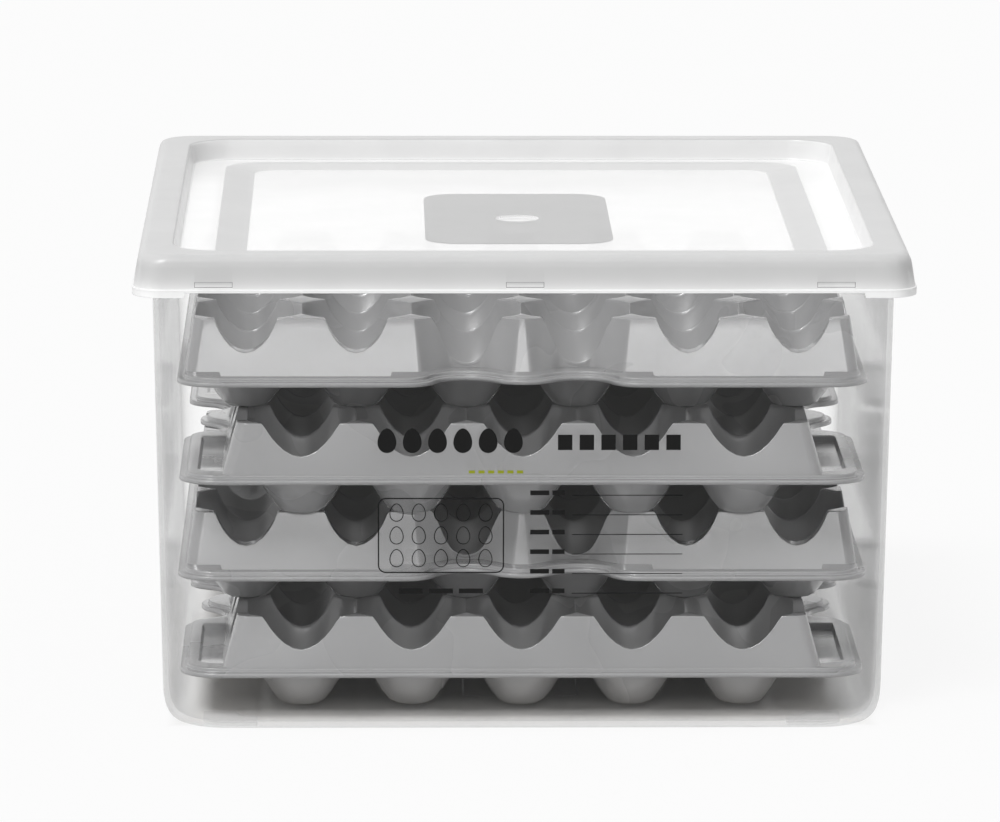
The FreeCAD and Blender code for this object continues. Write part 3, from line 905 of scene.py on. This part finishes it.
def tray_walls(shape, sides):
    """Wall lines all round the tray, anticlockwise, with fans at its four corners."""
    hub_top = np.array([shape.cells_x + END_TOP, shape.cells_y + SIDE_TOP]) - CORNER_R
    hub_foot = np.array([shape.cells_x + END_FOOT, shape.cells_y + SIDE_FOOT]) - CORNER_R
    ends = [line for j in range(shape.ny) for line in zip(*sides["end", j])]
    corner = ends[-1][0]
    ends = [line for line in ends if abs(line[1][1]) < hub_top[1] - 0.5]
    rear = [line for i in range(shape.nx - 1, -1, -1) for line in list(zip(*sides["side", i]))[::-1]]
    beside = next(line[0] for line in rear if line[0][0] < corner[0] - 1)
    rear = [line for line in rear if abs(line[1][0]) < hub_top[0] - 0.5]
    fan = []
    for k in range(9):
        ray = CORNER_R * np.array([math.cos(math.pi / 16 * k), math.sin(math.pi / 16 * k)])
        fan.append((corner if k < 6 else beside, hub_top + ray, hub_foot + ray))
    mirrored = [tuple(p * (-1.0, 1.0) for p in line) for line in reversed(fan)]
    half_ring = ends + fan + rear + mirrored
    ring = half_ring + [tuple(-p for p in line) for line in half_ring]
    ring.append(ring[0])
    return [np.array([line[k] for line in ring]) for k in range(3)]


def tray_mesh(shape):
    """Points and faces of the whole upper surface of a tray."""
    points, faces = [], []

    def join(new_points, new_faces):
        base = sum(len(p) for p in points)
        points.append(new_points)
        faces.extend(tuple(base + v for v in f) for f in new_faces)

    sides = tray_stations(shape)
    half, reach = shape.half, shape.cells_x + END_TOP - 1.0
    for i in range(shape.nx):
        for j in range(shape.ny):
            middle = np.array([(i + 0.5) * shape.pitch - shape.cells_x,
                               (j + 0.5) * shape.pitch - shape.cells_y])
            low = -reach - middle[0] if i == 0 else -half
            high = reach - middle[0] if i == shape.nx - 1 else half
            x, y = np.array(side_marks(low, high)), np.array(side_marks(-half, half))
            right = np.column_stack([np.full(len(y), half), y])
            left = -right
            rear = np.column_stack([x, np.full(len(x), half)])[::-1]
            front = np.column_stack([x, np.full(len(x), -half)])
            if i == shape.nx - 1:
                right = sides["end", j][0] - middle
            if i == 0:
                left = -(sides["end", shape.ny - 1 - j][0] + middle)
            if j == shape.ny - 1:
                rear = sides["side", i][0][::-1] - middle
            if j == 0:
                front = -(sides["side", shape.nx - 1 - i][0][::-1] + middle)
            boundary = np.vstack([right[:-1], rear[:-1], left[:-1], front[:-1]])
            join(*tray_cell(shape, boundary, middle))
    net = wall_strip(shape, *tray_walls(shape, sides))
    join(net.reshape(-1, 3), grid_faces(len(net), net.shape[1], False))
    net = rim_strip(shape)
    net = np.concatenate([net, net[:1]])
    join(net.reshape(-1, 3), [f[::-1] for f in grid_faces(len(net), net.shape[1], False)])
    return np.concatenate(points) * MM, faces


class EGGBOX_OT_trays(bpy.types.Operator):
    """Builds the four egg trays, each turned a quarter turn against the next"""

    bl_idname = "eggbox.trays"
    bl_label = "Egg trays"

    def execute(self, context):
        sizes = context.scene.egg_tray
        box = context.scene.egg_box
        plastic = tray_material(context.scene.egg_colours.tray)
        first = piece("moulded_tray_1", *tray_mesh(TrayShape(sizes)), [plastic])
        for number in range(1, 5):
            tray = first
            if number > 1:
                tray = bpy.data.objects.new(f"moulded_tray_{number}", first.data)
                context.scene.collection.objects.link(tray)
            from_floor = 4 - number
            height = box.foot + box.floor + from_floor * sizes.height
            turn = Matrix.Rotation(math.radians(90 * (from_floor + 1)), 4, "Z")
            tray.matrix_world = Matrix.Translation((0, 0, height)) @ turn
            shell = tray.modifiers.new("wall", "SOLIDIFY")
            shell.thickness = sizes.wall
            shell.offset = -1.0
            weigh_normals(tray)
            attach(tray, f"egg_tray_{number}")
            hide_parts(f"egg_tray_{number}")
        return {"FINISHED"}


CAMERA_PLACE, CAMERA_TURN = (-0.0628, -3.1572, 0.6851), (1.01, 10.37, 0.15)
KEY_WAY, KEY_SPREAD = (0.45, 0.62, -1.0), 20
LAMP_PLACE, LAMP_AIM, LAMP_SIZE = (-0.1, -2.8, 1.22), (0.0, 0.0, 0.1), (1.6, 0.25)
FLOOR_HALF = 9.0


class EGGBOX_OT_stage(bpy.types.Operator):
    """Sets up the camera, the floor and the light"""

    bl_idname = "eggbox.stage"
    bl_label = "Stage"

    def execute(self, context):
        scene = context.scene
        settings = scene.egg_stage
        data = bpy.data.cameras.new("camera")
        data.sensor_width = 36.0
        data.lens = settings.lens
        data.clip_end = 50.0
        camera = bpy.data.objects.new("camera", data)
        scene.collection.objects.link(camera)
        scene.camera = camera
        yaw, pitch, roll = (math.radians(a) for a in CAMERA_TURN)
        ahead = Vector((math.sin(yaw) * math.cos(pitch), math.cos(yaw) * math.cos(pitch), -math.sin(pitch)))
        level = Vector((math.cos(yaw), -math.sin(yaw), 0.0))
        upright = level.cross(ahead)
        right = level * math.cos(roll) + upright * math.sin(roll)
        up = upright * math.cos(roll) - level * math.sin(roll)
        turn = Matrix((right, up, -ahead)).transposed().to_4x4()
        camera.matrix_world = Matrix.Translation(CAMERA_PLACE) @ turn
        square = [(x * FLOOR_HALF, y * FLOOR_HALF, 0.0) for x, y in ((-1, -1), (1, -1), (1, 1), (-1, 1))]
        floor = piece("floor", square, [(0, 1, 2, 3)], [floor_material()])
        lamp = bpy.data.lights.new("key", "SUN")
        lamp.energy = settings.key
        lamp.angle = math.radians(KEY_SPREAD)
        key = bpy.data.objects.new("key", lamp)
        key.rotation_euler = Vector(KEY_WAY).to_track_quat("-Z", "Y").to_euler()
        scene.collection.objects.link(key)
        lamp = bpy.data.lights.new("front panel", "AREA")
        lamp.shape = "RECTANGLE"
        lamp.size, lamp.size_y = LAMP_SIZE
        lamp.energy = settings.panel
        panel = bpy.data.objects.new("front panel", lamp)
        panel.location = LAMP_PLACE
        panel.rotation_euler = (Vector(LAMP_AIM) - panel.location).to_track_quat("-Z", "Y").to_euler()
        scene.collection.objects.link(panel)
        world = bpy.data.worlds.new("studio")
        scene.world = world
        world.use_nodes = True
        world.node_tree.nodes.clear()
        sock = Sock(world.node_tree)
        strength = seen_directly(sock) * (1.0 - settings.sky) + settings.sky
        light = sock.add("ShaderNodeBackground", inputs={"Color": (1, 1, 1, 1), "Strength": strength})
        sock.add("ShaderNodeOutputWorld", inputs={"Surface": light})
        scene.view_settings.view_transform = "Standard"
        scene.cycles.transparent_max_bounces = 32
        return {"FINISHED"}


def floor_material():
    """White studio floor that shows white to the eye and keeps the shadow below the box."""
    material = bpy.data.materials.new("white_floor")
    sock = Sock(tree_of(material))
    place = sock.add("ShaderNodeTexCoord", out="Object")
    x, y = (sock.add("ShaderNodeSeparateXYZ", out=axis, inputs={"Vector": place}) for axis in "XY")
    away = sock.math("MAXIMUM", sock.math("ABSOLUTE", x), sock.math("ABSOLUTE", y))
    outside = ((away - 0.13) / 0.02).clamp()
    near = sock.add("ShaderNodeBsdfDiffuse", inputs={"Color": (0.95, 0.91, 0.85, 1)})
    far = sock.add("ShaderNodeBsdfDiffuse", inputs={"Color": (0.7, 0.7, 0.7, 1)})
    lit = sock.add("ShaderNodeMixShader", inputs={0: outside, 1: near, 2: far})
    white = sock.add("ShaderNodeEmission", inputs={"Color": (1, 1, 1, 1), "Strength": 1.0})
    share = seen_directly(sock) * outside * 0.9
    shader = sock.add("ShaderNodeMixShader", inputs={0: share, 1: lit, 2: white})
    sock.add("ShaderNodeOutputMaterial", inputs={"Surface": shader})
    return material


def seen_directly(sock):
    """One for rays from the eye, off gloss or through glass, zero for the light itself."""
    kinds = ("Camera", "Glossy", "Transmission")
    eye, gloss, glass = (sock.add("ShaderNodeLightPath", out=f"Is {kind} Ray") for kind in kinds)
    return (eye + gloss + glass).clamp()


class EGGBOX_PT_panel(bpy.types.Panel):
    """Sizes and build buttons"""

    bl_idname = "EGGBOX_PT_panel"
    bl_label = "Egg box"
    bl_space_type = "VIEW_3D"
    bl_region_type = "UI"
    bl_category = "Egg box"

    def draw(self, context):
        for name, group in GROUPS.items():
            for key in group.__annotations__:
                self.layout.prop(getattr(context.scene, name), key)
        for operator in OPERATORS:
            self.layout.operator(operator.bl_idname)


GROUPS = {
    "egg_box": EggBoxSizes,
    "egg_tray": EggTraySizes,
    "egg_colours": EggBoxColours,
    "egg_stage": EggBoxStage,
}
OPERATORS = (EGGBOX_OT_container, EGGBOX_OT_lid, EGGBOX_OT_print, EGGBOX_OT_trays, EGGBOX_OT_stage)


def register():
    for cls in (*GROUPS.values(), *OPERATORS, EGGBOX_PT_panel):
        bpy.utils.register_class(cls)
    for key, group in GROUPS.items():
        setattr(bpy.types.Scene, key, bpy.props.PointerProperty(type=group))


def unregister():
    for key in GROUPS:
        delattr(bpy.types.Scene, key)
    for cls in reversed((*GROUPS.values(), *OPERATORS, EGGBOX_PT_panel)):
        bpy.utils.unregister_class(cls)


def main():
    register()
    bpy.ops.eggbox.container()
    bpy.ops.eggbox.lid()
    bpy.ops.eggbox.print()
    bpy.ops.eggbox.trays()
    bpy.ops.eggbox.stage()


if __name__ == "__main__":
    main()
